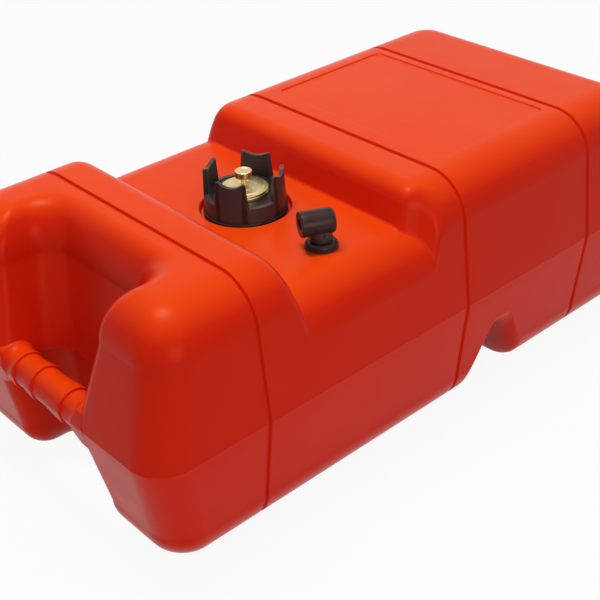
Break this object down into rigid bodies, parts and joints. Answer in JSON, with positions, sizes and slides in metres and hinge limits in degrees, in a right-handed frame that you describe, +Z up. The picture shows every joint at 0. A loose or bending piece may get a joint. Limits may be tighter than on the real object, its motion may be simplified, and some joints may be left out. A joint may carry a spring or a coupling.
{
  "type": "outboard fuel tank",
  "caption": "Portable blow-moulded fuel tank with a hand notch and grip bar, vented crown cap, swivel outlet elbow and pickup tube with strainer.",
  "frame": {"origin": "middle of the tank's footprint, on the ground", "axes": "+X from the handle bar to the high rear block, +Z up, +Y to the side away from the outlet elbow"},
  "size_m": [0.686, 0.356, 0.265],
  "materials": {
    "red_hdpe": "satin blow-moulded polyethylene",
    "black_plastic": "satin injection-moulded nylon",
    "champagne_metal": "satin nickel-champagne plating",
    "brass": "machined",
    "spring_steel": "bright",
    "rubber": "matte nitrile",
    "natural_nylon": "natural translucent",
    "steel_mesh": "fine woven mesh"
  },
  "bodies": {
    "tank": {"tank_shell": "red_hdpe", "outlet_bush": "brass", "flange_gasket": "rubber", "gland_nut": "black_plastic"},
    "seal": {"cap_gasket": "rubber"},
    "cap": {"filler_cap": "black_plastic", "vent_drum": "champagne_metal", "vent_seat": "rubber", "splash_baffle": "black_plastic"},
    "vent_ring": {"vent_o_ring": "rubber"},
    "vent_knob": {"vent_screw": "champagne_metal", "vent_clip": "spring_steel"},
    "outlet": {"outlet_elbow": "black_plastic", "elbow_o_rings": "rubber", "elbow_circlip": "spring_steel", "tube_clip": "spring_steel", "pickup_tube": "natural_nylon", "strainer_collar": "black_plastic", "strainer_mesh": "steel_mesh", "strainer_cage": "black_plastic"}
  },
  "joints": [
    {"name": "cap_lift", "type": "slide", "parent": "tank", "child": "seal", "axis": [0, 0, 1], "range_m": [0, 0.09]},
    {"name": "cap_turn", "type": "hinge", "parent": "seal", "child": "cap", "pos_m": [-0.091, 0, 0.235], "axis": [0, 0, 1], "range_deg": [0, 540]},
    {"name": "vent_rise", "type": "slide", "parent": "cap", "child": "vent_ring", "axis": [0, 0, 1], "range_m": [0, 0.003]},
    {"name": "vent_turn", "type": "hinge", "parent": "vent_ring", "child": "vent_knob", "pos_m": [-0.091, 0, 0.245], "axis": [0, 0, 1], "range_deg": [0, 1080]},
    {"name": "elbow_swivel", "type": "hinge", "parent": "tank", "child": "outlet", "pos_m": [-0.0945, -0.111, 0.23], "axis": [0, 0, 1], "continuous": true}
  ],
  "couplings": [
    {"joint": "vent_turn", "follows": "vent_rise", "rad_per_m": 6283.2}
  ]
}
